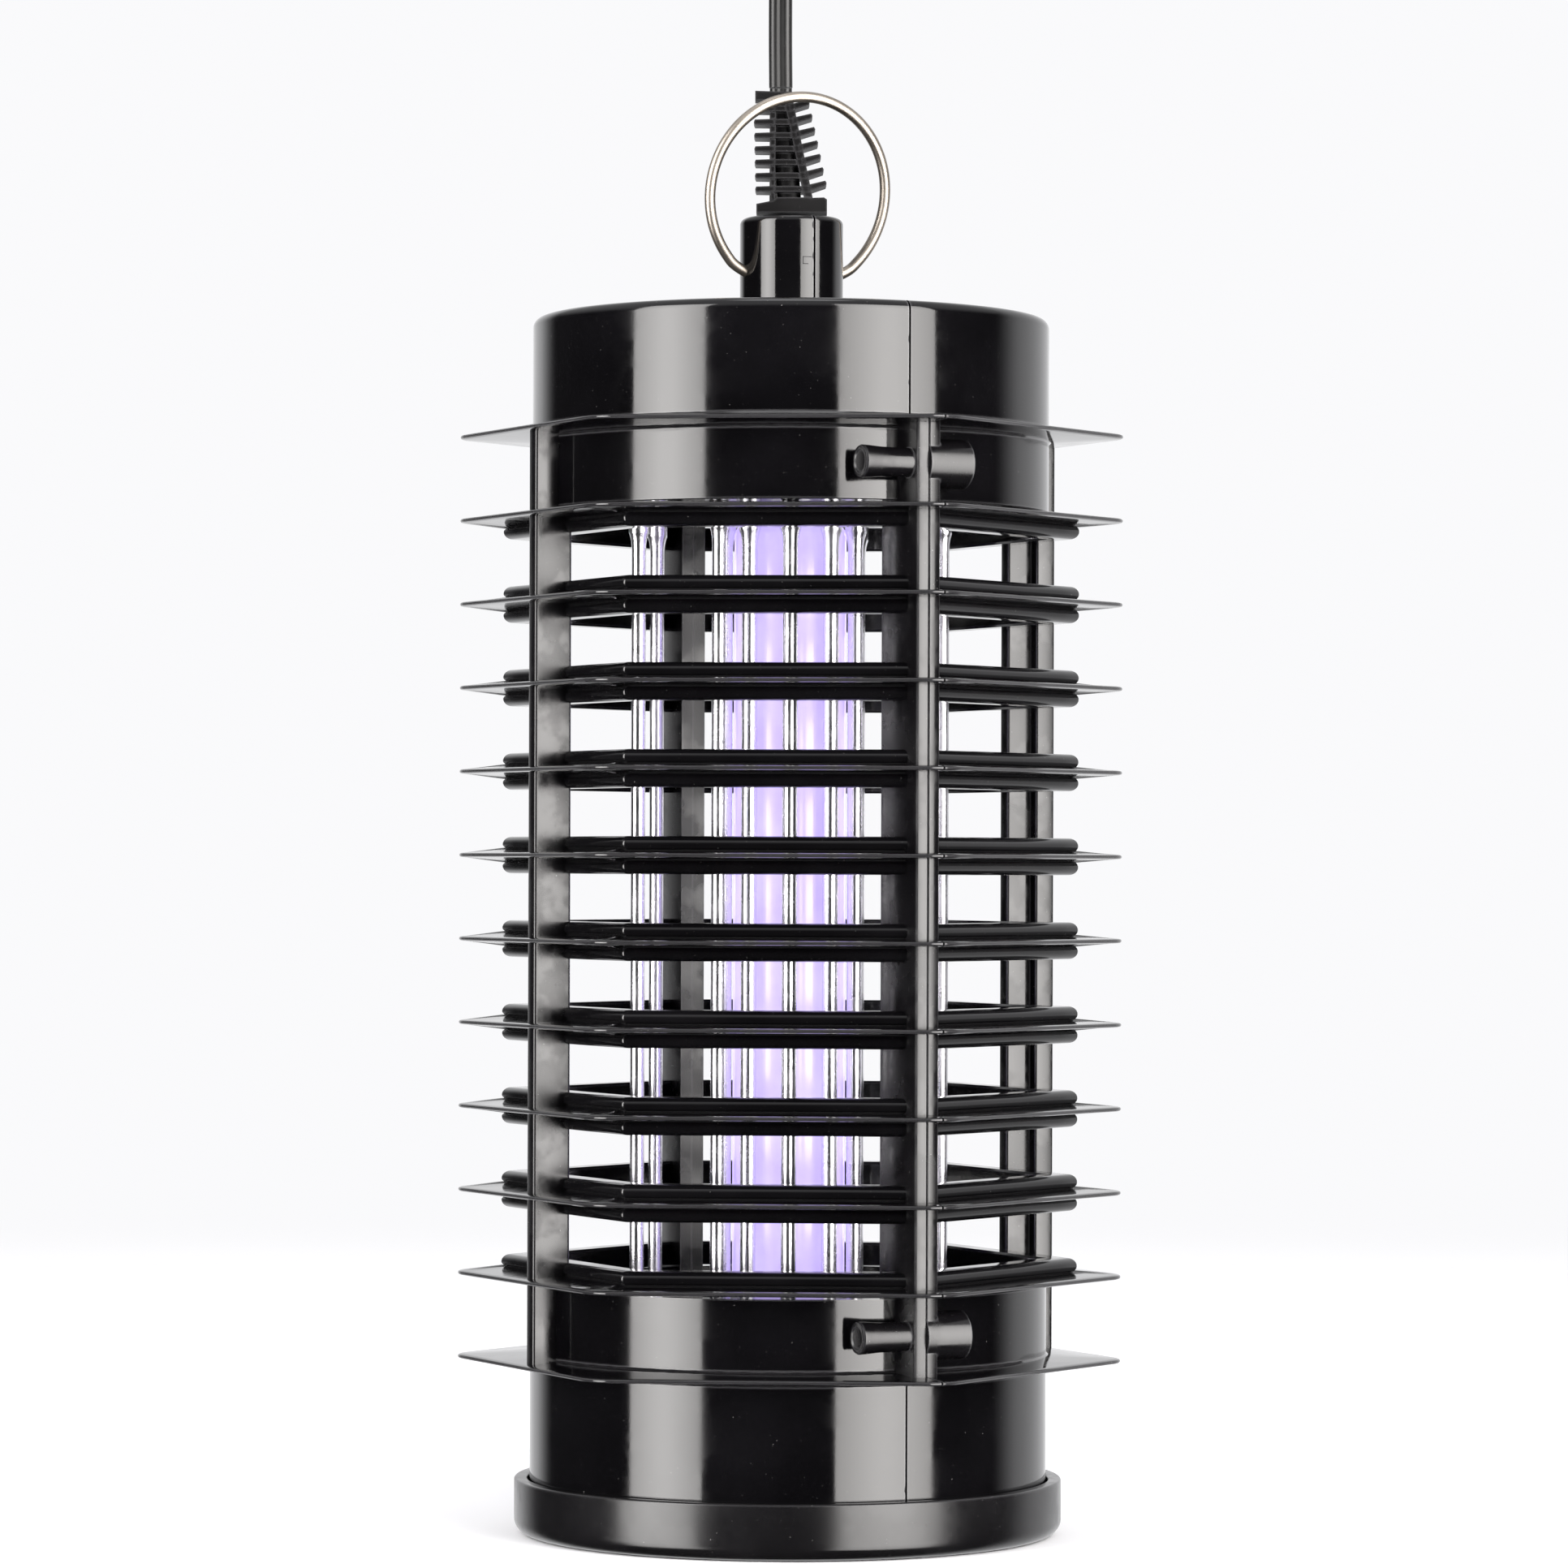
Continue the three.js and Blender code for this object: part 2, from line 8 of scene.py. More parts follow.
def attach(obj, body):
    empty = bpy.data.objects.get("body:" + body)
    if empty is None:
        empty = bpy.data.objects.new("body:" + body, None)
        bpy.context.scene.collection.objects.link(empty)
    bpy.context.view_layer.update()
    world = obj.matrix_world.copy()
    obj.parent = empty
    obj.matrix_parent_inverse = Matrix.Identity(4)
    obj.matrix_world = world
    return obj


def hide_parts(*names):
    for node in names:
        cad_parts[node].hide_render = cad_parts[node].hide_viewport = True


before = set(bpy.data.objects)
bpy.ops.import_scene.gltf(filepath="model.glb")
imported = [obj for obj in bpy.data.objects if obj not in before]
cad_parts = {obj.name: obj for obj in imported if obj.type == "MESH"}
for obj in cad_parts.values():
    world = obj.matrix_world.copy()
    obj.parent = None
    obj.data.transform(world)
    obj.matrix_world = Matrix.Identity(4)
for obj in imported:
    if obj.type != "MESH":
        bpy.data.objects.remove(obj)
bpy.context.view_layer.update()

MM = 0.001

# ---------- dimensions, in millimetres, as in the CAD model ----------
FIN_FIRST_Z, FIN_PITCH, FIN_COUNT = 33.9, 16.39, 12
FIN_HALF, TIP_HALF = 1.1, 0.43            # half thickness at the root and at the tip
FIN_CENTRE, FIN_CORNER = 57.0, 8.0        # corner arcs: distance of their centres, radius
BAR_RISE, BAR_CENTRE, BAR_CORNER = 3.6, 55.6, 0.9
EDGE_IN, EDGE_DOWN = 1.9, 1.5             # reach of a bar's rounded edge, inwards and towards the fin
ROOT, ROOT_GROWTH = 0.76, 0.85            # half gap between a fin's bars, and its growth to the rear
CAGE_CENTRE, CAGE_CORNER = 49.75, 0.4
DRUM_R, WALL, DRUM_TOP, DRUM_EDGE = 50.5, 2.2, 237.1, 1.9
NECK_R, NECK_TOP, NECK_BORE = 10.1, 257.0, 4.0
TRAY_R, TRAY_H, TRAY_FLOOR = 53.5, 10.8, 2.3
SEAM = 0.2                                # half gap between the shells
POST_T, POST_IN, POST_OUT = 3.3, 47.6, 55.3
LIP_IN, LIP_OUT, LIP_Y = 52.8, 56.9, -4.0  # lip along the front of the right shell's middle post
RIB_W, RIB_IN, RIB_OUT = 2.55, 44.2, 58.6
BOSS_Y, SPIGOT_END, SOCKET_END = 55.0, -12.9, 9.3
SOCKET_R, SOCKET_BORE, SOCKET_DEPTH = 4.7, 3.0, 4.6
RING_WIRE, RING_R, RING_RISE, RING_Z, RING_LEAN = 2.1, 19.0, 14.8, 247.0, 11.0
ROD_D, ROD_CIRCLE = 2.8, 29.7
GRID_D, GRID_CIRCLE = 3.0, 13.45
LAMP_R, CAP_R = 11.0, 9.8
PLATE_T, BUS_T = 2.4, 1.2
CORD_W, CORD_T = 4.6, 2.8
HEADING = math.radians(-26.3)             # the view and the cord's frame are turned about Z by this
SIDES = (("left", -1), ("right", 1))
ENDS = (("front", -1), ("rear", 1))


def fin_z(level):
    return FIN_FIRST_Z + FIN_PITCH * (level - 1)


DRUM_BOTTOM = fin_z(11) + FIN_HALF + 0.3
LOWER_TOP = fin_z(2) - FIN_HALF - 0.3
UPPER_PLATE_Z = DRUM_BOTTOM + 0.9
LOWER_PLATE_Z = LOWER_TOP - 5.4
POST_Z = (fin_z(1), fin_z(12))
BOSS_Z = ((fin_z(1) + fin_z(2)) / 2, (fin_z(11) + fin_z(12)) / 2)

# ---------- the view, in millimetres and degrees ----------
EYE_DISTANCE, EYE_HEIGHT, EYE_ROLL = 1180.0, 130.6, 0.19
VIEW_WIDTH, SENSOR = 307.154, 36.0        # what the frame spans at the lantern's axis, and the sensor's width
SHIFT = (-0.0035, 0.0512)


# ---------- node trees ----------
class Nodes:
    """A node tree with short calls."""

    def __init__(self, tree):
        self.tree = tree

    def put(self, socket, value):
        """Links a socket to another one, or gives it a number, a vector or a colour."""
        if isinstance(value, bpy.types.NodeSocket):
            self.tree.links.new(value, socket)
        elif socket.type == "RGBA":
            socket.default_value = (*value, 1.0)
        else:
            socket.default_value = value

    def node(self, kind, **inputs):
        made = self.tree.nodes.new(kind)
        for key, value in inputs.items():
            self.put(made.inputs[key.replace("_", " ")], value)
        return made

    def operation(self, kind, name, a, b):
        made = self.node(kind)
        made.operation = name
        for socket, value in zip(made.inputs, (a, b)):
            self.put(socket, value)
        return made.outputs["Value"]

    def math(self, name, a, b):
        return self.operation("ShaderNodeMath", name, a, b)

    def measure(self, name, a, b):
        """A dot product or a distance of two vectors."""
        return self.operation("ShaderNodeVectorMath", name, a, b)

    def ramp(self, source, low, high, low_value=0.0, high_value=1.0, smooth=True):
        made = self.node("ShaderNodeMapRange", Value=source, From_Min=low, From_Max=high,
                         To_Min=low_value, To_Max=high_value)
        made.interpolation_type = "SMOOTHSTEP" if smooth else "LINEAR"
        return made.outputs["Result"]

    def mix(self, factor, a, b):
        """A mix of two colours."""
        made = self.node("ShaderNodeMix", Factor=factor)
        made.data_type = "RGBA"
        colours = [socket for socket in made.inputs if socket.type == "RGBA"]
        for socket, value in zip(colours, (a, b)):
            self.put(socket, value)
        return next(socket for socket in made.outputs if socket.type == "RGBA")


class Surface(Nodes):
    """A material's node tree, with its shader and the object coordinates."""

    def __init__(self, name):
        self.material = bpy.data.materials.new(name)
        self.material.use_nodes = True
        super().__init__(self.material.node_tree)
        self.shader = self.tree.nodes["Principled BSDF"]
        self.coords = self.node("ShaderNodeTexCoord").outputs["Object"]

    def set(self, **inputs):
        for key, value in inputs.items():
            self.put(self.shader.inputs[key.replace("_", " ")], value)

    def noise(self, scale, detail=4.0, roughness=0.55, vector=None):
        made = self.node("ShaderNodeTexNoise", Vector=vector or self.coords, Scale=scale, Detail=detail,
                         Roughness=roughness)
        return made.outputs["Fac"]

    def bump(self, height, strength, distance, under=None):
        made = self.node("ShaderNodeBump", Height=height, Strength=strength, Distance=distance)
        if under is not None:
            self.put(made.inputs["Normal"], under)
        return made.outputs["Normal"]

    def edges(self, width=0.0006, threshold=0.12):
        """1 on convex edges, 0 elsewhere, for wear."""
        bevel = self.node("ShaderNodeBevel", Radius=width)
        bevel.samples = 4
        normal = self.node("ShaderNodeNewGeometry").outputs["Normal"]
        turn = self.measure("DOT_PRODUCT", bevel.outputs[0], normal)
        return self.ramp(turn, 1.0, 1.0 - threshold)


# ---------- materials ----------
def moulded_black(name, base, rough, peel, dust, worn, stain, grain=0.10, specular=0.5):
    """Injection-moulded black plastic: peel, grain, stains, dust specks, scuffs and worn edges."""
    n = Surface(name)
    cloud = n.noise(38.0, 5.0)
    specks = n.ramp(n.noise(2600.0, 2.0), 0.735, 0.80)
    scuffs = n.ramp(n.noise(420.0, 6.0, 0.75), 0.64, 0.80)
    haze = n.ramp(cloud, 0.35, 0.75)
    shade = n.mix(haze, base, [c * 1.8 + 0.0004 for c in base])
    shade = n.mix(n.math("MULTIPLY", specks, dust), shade, (0.32, 0.31, 0.30))
    shade = n.mix(n.math("MULTIPLY", n.edges(), worn), shade, (0.075, 0.074, 0.078))
    roughness = n.math("ADD", n.ramp(cloud, 0.3, 0.8, rough * 0.8, rough * 1.25),
                       n.math("MULTIPLY", n.math("ADD", scuffs, specks), 0.18))
    roughness = n.math("ADD", roughness, n.ramp(n.noise(115.0, 3.0, 0.6), 0.44, 0.56, 0.0, stain))
    fine = n.bump(n.noise(3800.0, 2.0), grain, 0.00002)
    waves = n.bump(n.noise(150.0, 2.0), peel, 0.00012, fine)
    n.set(Base_Color=shade, Roughness=roughness, Normal=waves, IOR=1.49, Specular_IOR_Level=specular)
    return n.material


def drawn_steel():
    """Nickel-plated wire: warm grey with fine lengthwise scratches."""
    n = Surface("steel_wire")
    stretched = n.node("ShaderNodeMapping", Vector=n.coords, Scale=(1.0, 1.0, 0.25)).outputs[0]
    streaks = n.noise(260.0, 3.0, 0.6, stretched)
    stains = n.noise(90.0, 4.0)
    shade = n.mix(n.ramp(stains, 0.35, 0.7), (0.37, 0.33, 0.288), (0.28, 0.25, 0.215))
    n.set(Base_Color=shade, Metallic=1.0, Roughness=n.ramp(streaks, 0.3, 0.75, 0.36, 0.46),
          Normal=n.bump(streaks, 0.03, 0.00002))
    return n.material


def electrode_metal():
    """Bright plated bars with slight waviness and small burn marks."""
    n = Surface("bright_bar")
    burns = n.ramp(n.noise(700.0, 5.0, 0.7), 0.63, 0.76)
    shade = n.mix(burns, (0.83, 0.82, 0.87), (0.42, 0.40, 0.42))
    n.set(Base_Color=shade, Metallic=1.0, Roughness=n.ramp(n.noise(160.0), 0.3, 0.8, 0.2, 0.36),
          Normal=n.bump(n.noise(260.0, 3.0), 0.15, 0.00010))
    return n.material


def lamp_glass():
    """Lit lamp: glowing coated glass, a little uneven along the tube."""
    n = Surface("lit_lamp")
    coat = n.noise(60.0, 4.0)
    glow = n.mix(n.ramp(coat, 0.35, 0.7), (0.56, 0.45, 1.0), (0.68, 0.59, 1.0))
    n.set(Base_Color=(0.22, 0.19, 0.32), Roughness=0.18, Emission_Color=glow, Emission_Strength=0.92,
          Normal=n.bump(coat, 0.1, 0.0002))
    return n.material


def plain_moulding(name, low, high, rough, metallic=0.0):
    """A small inner piece: two shades, uneven gloss and a fine grain."""
    n = Surface(name)
    cloud = n.noise(120.0, 5.0)
    n.set(Base_Color=n.mix(n.ramp(cloud, 0.3, 0.7), low, high), Metallic=metallic,
          Roughness=n.ramp(cloud, 0.3, 0.7, rough * 0.8, rough * 1.2),
          Normal=n.bump(n.noise(900.0, 3.0), 0.15, 0.00005))
    return n.material


GLOSS = moulded_black("gloss_black_plastic", (0.0012, 0.0011, 0.0014), 0.075, 0.035, 0.45, 0.6, 0.035)
FIN_GLOSS = moulded_black("fin_black_plastic", (0.0016, 0.0015, 0.0018), 0.09, 0.012, 0.35, 0.5, 0.04,
                          grain=0.03)
SMUDGED = moulded_black("smudged_black_plastic", (0.0022, 0.0020, 0.0024), 0.16, 0.07, 0.6, 0.5, 0.11)
SATIN = moulded_black("satin_black_plastic", (0.0032, 0.0030, 0.0034), 0.20, 0.05, 0.6, 0.9, 0.04,
                      specular=0.42)
GRAINED = moulded_black("grained_black_plastic", (0.0040, 0.0038, 0.0040), 0.42, 0.35, 0.5, 0.35, 0.0,
                        grain=0.6, specular=0.10)
SHEATH = moulded_black("cord_sheath", (0.004, 0.004, 0.004), 0.34, 0.04, 0.25, 0.1, 0.0, grain=0.03,
                       specular=0.4)
STEEL = drawn_steel()
BRIGHT = electrode_metal()
LAMP = lamp_glass()
CAP_METAL = plain_moulding("cap_metal", (0.55, 0.55, 0.56), (0.7, 0.7, 0.7), 0.35, metallic=1.0)


# ---------- mesh helpers ----------
class Shape:
    """Collects closed bodies, in millimetres, into one piece."""

    def __init__(self):
        self.verts, self.faces = [], []

    def add(self, verts, faces, place=None):
        start = len(self.verts)
        self.verts += [place @ Vector(v) if place else Vector(v) for v in verts]
        self.faces += [[start + i for i in face] for face in faces]
        return self

    def mesh(self, name, smooth_angle):
        """One mesh with merged points and outward faces, sharp where it turns by more than an angle."""
        work = bmesh.new()
        made = [work.verts.new(v * MM) for v in self.verts]
        for face in self.faces:
            work.faces.new([made[i] for i in face])
        bmesh.ops.remove_doubles(work, verts=work.verts, dist=1e-6)
        bmesh.ops.dissolve_degenerate(work, edges=work.edges, dist=1e-7)
        bmesh.ops.recalc_face_normals(work, faces=work.faces)
        mesh = bpy.data.meshes.new(name)
        work.to_mesh(mesh)
        work.free()
        mesh.shade_smooth()
        mesh.set_sharp_from_angle(angle=math.radians(smooth_angle))
        return mesh

    def build(self, name, material, slot, nodes, body="root", smooth_angle=32.0):
        """The piece in the scene, riding on a body and standing for CAD nodes."""
        mesh = self.mesh(name, smooth_angle)
        mesh.materials.append(material)
        made = bpy.data.objects.new(name, mesh)
        bpy.context.scene.collection.objects.link(made)
        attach(made, body)
        if nodes:
            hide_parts(*nodes)
        return made


def skin(rings, closed=False):
    """Verts and faces through rings of equal length, capped unless the last ring joins the first."""
    count = len(rings[0])
    verts = [p for ring in rings for p in ring]
    faces = []
    for r in range(len(rings) if closed else len(rings) - 1):
        a, b = r * count, ((r + 1) % len(rings)) * count
        for i in range(count):
            j = (i + 1) % count
            faces.append([a + i, a + j, b + j, b + i])
    if not closed:
        faces.append(list(range(count)))
        faces.append(list(range((len(rings) - 1) * count, len(rings) * count)))
    return verts, faces


def smoothstep(t):
    t = min(max(t, 0.0), 1.0)
    return t * t * (3 - 2 * t)


def arc(cx, cy, radius, start, stop, steps):
    """Points on an arc, in degrees."""
    angles = [math.radians(start + (stop - start) * k / steps) for k in range(steps + 1)]
    return [(cx + radius * math.cos(a), cy + radius * math.sin(a)) for a in angles]


def circle(radius, count=24, cx=0.0, cy=0.0):
    """Points once round a circle."""
    angles = [2 * math.pi * k / count for k in range(count)]
    return [(cx + radius * math.cos(a), cy + radius * math.sin(a)) for a in angles]


def rounded_box(x0, x1, y0, y1, radius, steps=4):
    """Outline of a rectangle with rounded corners."""
    corners = ((x1 - radius, y1 - radius, 0), (x0 + radius, y1 - radius, 90),
               (x0 + radius, y0 + radius, 180), (x1 - radius, y0 + radius, 270))
    return [p for cx, cy, a in corners for p in arc(cx, cy, radius, a, a + 90, steps)]


def prism(outline, z0, z1):
    """An outline of x, y points raised along Z."""
    return skin([[(x, y, z) for x, y in outline] for z in (z0, z1)])


def slab(outline, half_depth):
    """An outline of x, z points given a depth along Y."""
    return skin([[(x, y, z) for x, z in outline] for y in (-half_depth, half_depth)])


def round_bar(rows, y, z):
    """A round bar along X from rows of x, radius."""
    return skin([[(x, a, b) for a, b in circle(r, 32, y, z)] for x, r in rows])


def turned(profile, steps=96):
    """A full turn of a closed profile, or of one that starts and ends on the axis."""
    turns = circle(1.0, steps)
    return skin([[(r * c, r * s, z) for r, z in profile] for c, s in turns], closed=True)


def half_turned(profile, side, steps=96):
    """Half a turn of a closed profile, from the front seam to the rear seam."""
    turns = arc(0, 0, 1.0, -90, 90, steps)
    return skin([[(side * max(r * c, SEAM), r * s, z) for r, z in profile] for c, s in turns])


def tube(path, section, wide):
    """Sweeps a section of x, y points along a path; x follows wide, one vector or one per point."""
    rings = []
    last = len(path) - 1
    for k, point in enumerate(path):
        ahead = (path[min(k + 1, last)] - path[max(k - 1, 0)]).normalized()
        across = wide[k] if isinstance(wide, list) else wide
        across = (across - ahead * across.dot(ahead)).normalized()
        other = ahead.cross(across)
        rings.append([point + across * x + other * y for x, y in section])
    return skin(rings)


def between(a, b, ta, tb, t):
    """The point at t on the line that passes a at ta and b at tb."""
    return a * ((tb - t) / (tb - ta)) + b * ((t - ta) / (tb - ta))


def smooth_path(points, per_span):
    """A centripetal Catmull-Rom curve through the points."""
    pts = [Vector(p) for p in points]
    pts = [pts[0] * 2 - pts[1]] + pts + [pts[-1] * 2 - pts[-2]]
    out = []
    for i in range(1, len(pts) - 2):
        p = pts[i - 1:i + 3]
        t = [0.0]
        for a, b in zip(p, p[1:]):
            t.append(t[-1] + max((b - a).length, 1e-6) ** 0.5)
        for k in range(per_span):
            s = t[1] + (t[2] - t[1]) * k / per_span
            outer = [between(p[j], p[j + 1], t[j], t[j + 1], s) for j in range(3)]
            inner = [between(outer[j], outer[j + 1], t[j], t[j + 2], s) for j in range(2)]
            out.append(between(inner[0], inner[1], t[1], t[2], s))
    return out + [pts[-2]]


# ---------- half outlines of the hexagonal cage ----------
# Corner arcs from the front seam to the rear seam: from, to and the corner's direction, in degrees.
CORNERS = ((-90, -60, -90), (-60, 0, -30), (0, 60, 30), (60, 90, 90))
ARC_STEPS, FLAT_STEPS = 8, 10             # points per 60 degrees of an arc, and per straight side
REAR_FROM, REAR_SPAN = -58, 105           # where an outline's facing direction turns to the rear, in degrees


def arc_steps(start, stop):
    return ARC_STEPS * (stop - start) // 60


def hex_half(centre, corner, side):
    """Half of a rounded hexagon, as x, y points."""
    points = []
    for start, stop, direction in CORNERS:
        c = math.radians(direction)
        corner_points = arc(centre * math.cos(c), centre * math.sin(c), corner, start, stop,
                            arc_steps(start, stop))
        if points:
            (x0, y0), (x1, y1) = points[-1], corner_points[0]
            for t in (k / FLAT_STEPS for k in range(1, FLAT_STEPS)):
                points.append((x0 + (x1 - x0) * t, y0 + (y1 - y0) * t))
        points += corner_points
    return [(side * max(x, SEAM), y) for x, y in points]


def rear_weights():
    """For hex_half's points: 0 where the outline faces forward, rising to 1 where it faces the rear."""
    weights = []
    for start, stop, _ in CORNERS:
        if weights:
            weights += [weights[-1]] * (FLAT_STEPS - 1)
        steps = arc_steps(start, stop)
        facing = [start + (stop - start) * k / steps for k in range(steps + 1)]
        weights += [smoothstep((a - REAR_FROM) / REAR_SPAN) for a in facing]
    return weights


def fin_outline(side, inset):
    return hex_half(FIN_CENTRE, FIN_CORNER - inset, side)


def bar_outline(side, inset):
    return hex_half(BAR_CENTRE - inset, BAR_CORNER, side)


def cage_outline(side, inset):
    return hex_half(CAGE_CENTRE + inset, CAGE_CORNER, side)


def drum_outline(side, radius):
    """Half a circle, with its points at the angles of the fin's outline."""
    points = []
    for x, y in fin_outline(side, 0.0):
        a = math.atan2(y, abs(x))
        points.append((side * max(radius * math.cos(a), SEAM), radius * math.sin(a)))
    return points


def mirrored(rows):
    """The same section rows below a fin's middle plane, in reverse order."""
    return [(outline, -z, -more) for outline, z, more in reversed(rows)]


def half_loft(rows, level):
    """A closed section at a fin's height: rows of outline, z, and what is added to z towards the rear."""
    middle = fin_z(level)
    return skin([[(*outline[i], z + middle + more * weight) for outline, z, more in rows]
                 for i, weight in enumerate(rear_weights())])


# ---------- camera ----------
def add_camera():
    data = bpy.data.cameras.new("camera")
    data.sensor_width = SENSOR
    data.lens = EYE_DISTANCE / VIEW_WIDTH * SENSOR
    data.shift_x, data.shift_y = SHIFT
    data.clip_start, data.clip_end = 0.05, 30.0
    camera = bpy.data.objects.new("camera", data)
    bpy.context.scene.collection.objects.link(camera)
    towards = Vector((math.sin(HEADING), -math.cos(HEADING), 0.0))
    camera.location = (towards * EYE_DISTANCE + Vector((0, 0, EYE_HEIGHT))) * MM
    roll = Matrix.Rotation(math.radians(EYE_ROLL), 4, "Z")
    level = (-towards).to_track_quat("-Z", "Y").to_matrix().to_4x4()
    camera.rotation_mode = "QUATERNION"
    camera.rotation_quaternion = (level @ roll).to_quaternion()
    bpy.context.scene.camera = camera


# ---------- shells ----------
def fin_tip(side):
    """Section rows of a fin's rounded tip, from its upper to its lower face."""
    rows = ((1.3, 1.17), (0.5, 1.0), (0.14, 0.72), (0.0, 0.25))
    upper = [(fin_outline(side, inset), TIP_HALF * k, 0.0) for inset, k in rows]
    return upper + mirrored(upper)


def louvre_face(side, has_bar):
    """Section rows of a louvre's upper half, from its inner wall to the root of its fin."""
    if not has_bar:
        return [(cage_outline(side, 0.0), FIN_HALF, 0.0), (bar_outline(side, 0.6), FIN_HALF, 0.0)]
    rows = [(cage_outline(side, 0.0), BAR_RISE - 0.4, 0.0), (cage_outline(side, 0.4), BAR_RISE, 0.0)]
    edge_z = BAR_RISE - EDGE_DOWN
    for a in map(math.radians, range(90, 0, -16)):
        inset, z = EDGE_IN * (1 - math.cos(a)), edge_z + EDGE_DOWN * math.sin(a)
        rows.append((bar_outline(side, inset), z, 0.0))
    for inset, up in ((0.0, 0.85), (0.12, 0.55), (0.45, 0.22), (1.0, 0.05), (1.3, 0.0)):
        rows.append((bar_outline(side, inset), ROOT + (edge_z - ROOT) * up, ROOT_GROWTH * (1 - up)))
    return rows


def add_louvres():
    for level in range(2, FIN_COUNT):
        for name, side in SIDES:
            above, below = louvre_face(side, level < FIN_COUNT - 1), louvre_face(side, level > 2)
            shape = Shape().add(*half_loft(above + fin_tip(side) + mirrored(below), level))
            shape.build(f"louvre_{name}_{level:02d}", FIN_GLOSS, "gloss_black",
                        [f"{name}_louvre_{level:02d}"])


def end_fin(side, level):
    """The plain fin round a drum, from just inside the drum's wall out to its tip."""
    upper = [(drum_outline(side, DRUM_R - 1), 1.5, 0.0), (drum_outline(side, DRUM_R), 1.5, 0.0),
             (drum_outline(side, DRUM_R + 0.4), FIN_HALF, 0.0)]
    return half_loft(upper + fin_tip(side) + mirrored(upper), level)


def add_housings():
    inner, roof, foot = DRUM_R - WALL, DRUM_TOP - WALL, TRAY_FLOOR + 0.3
    upper = [(NECK_BORE, roof), (inner - 1, roof), (inner, roof - 1), (inner, DRUM_BOTTOM),
             (DRUM_R - 0.2, DRUM_BOTTOM), (DRUM_R, DRUM_BOTTOM + 0.2)]
    upper += arc(DRUM_R - DRUM_EDGE, DRUM_TOP - DRUM_EDGE, DRUM_EDGE, 0, 90, 10)
    upper += arc(NECK_R + 0.6, DRUM_TOP + 0.6, 0.6, 270, 180, 4)
    upper += arc(NECK_R - 1.3, NECK_TOP - 1.3, 1.3, 0, 90, 8)
    upper += [(NECK_BORE + 0.4, NECK_TOP), (NECK_BORE, NECK_TOP - 0.4)]
    lower = [(inner, foot), (DRUM_R - 0.3, foot), (DRUM_R, foot + 0.3), (DRUM_R, LOWER_TOP),
             (inner, LOWER_TOP)]
    for name, side in SIDES:
        for place, profile, level in (("upper", upper, FIN_COUNT), ("lower", lower, 1)):
            body = Shape().add(*half_turned(profile, side)).add(*end_fin(side, level))
            body.build(f"{place}_shell_{name}", GLOSS, "gloss_black", [f"{place}_housing_{name}"])


def seam_burr(radius, z, length, width):
    """A burr on the left shell's edge at the front, thickest near its lower end."""
    outline = [(-width, 0.3 - radius), (-width * 0.6, -0.03 - radius), (0.0, -0.07 - radius),
               (0.0, 0.3 - radius)]
    return skin([[(x * k - SEAM, y, z + length * t) for x, y in outline]
                 for t, k in ((0.0, 0.25), (0.3, 1.0), (0.75, 0.7), (1.0, 0.1))])


def add_seam_flash():
    """Dull burrs beside the front seam, and the trace of a mould gate on the neck."""
    shape = Shape()
    burrs = ((NECK_R, 254.2, 1.6, 0.5), (NECK_R, 251.9, 0.7, 0.28), (NECK_R, 248.2, 1.5, 0.42),
             (NECK_R, 245.0, 0.8, 0.3), (NECK_R, 239.4, 1.4, 0.3), (DRUM_R, 228.9, 1.6, 0.25),
             (DRUM_R, 221.0, 1.0, 0.2), (DRUM_R, 12.2, 1.3, 0.3))
    for burr in burrs:
        shape.add(*seam_burr(*burr))
    gate = Matrix.Translation((0, 0, NECK_TOP - 9.0)) @ Matrix.Rotation(math.radians(-8.5), 4, "Z")
    for x0, x1, z0, z1 in ((-0.9, 0.9, 0.62, 0.74), (-0.9, 0.2, -0.74, -0.62), (-0.9, -0.78, -0.74, 0.74)):
        outline = [(x0, 0.3 - NECK_R), (x0, -0.05 - NECK_R), (x1, -0.05 - NECK_R), (x1, 0.3 - NECK_R)]
        shape.add(*prism(outline, z0, z1), gate)
    shape.build("seam_flash", GRAINED, "gloss_black", [])


def spigot(y, z):
    """The left shell's round boss, with a flared rim and a shallow dish in its free end."""
    end = SPIGOT_END
    rows = ((0.0, 2.72), (end + 4.5, 2.82), (end + 1.6, 3.05), (end + 0.45, 3.1), (end + 0.1, 2.9),
            (end, 2.6), (end, 2.25), (end + 0.25, 2.0), (end + 0.35, 1.0))
    return round_bar(rows, y, z)


def socket_boss(y, z):
    """The right shell's round boss, with a counterbore in its free end."""
    end = SOCKET_END
    rows = ((0.0, SOCKET_R), (end - 0.3, SOCKET_R), (end, SOCKET_R - 0.3), (end, SOCKET_BORE + 0.25),
            (end - 0.25, SOCKET_BORE), (end - SOCKET_DEPTH, SOCKET_BORE))
    return round_bar(rows, y, z)


def add_middle_post(name, side):
    x = sorted((side * POST_IN, side * POST_OUT))
    shape = Shape().add(*prism(rounded_box(*x, -POST_T / 2, POST_T / 2, 0.55), *POST_Z))
    if side > 0:
        shape.add(*prism(rounded_box(LIP_IN, LIP_OUT, LIP_Y, POST_T / 2, 0.5), *POST_Z))
    shape.build("mid_rib_" + name, SMUDGED, "gloss_black", ["mid_post_" + name])


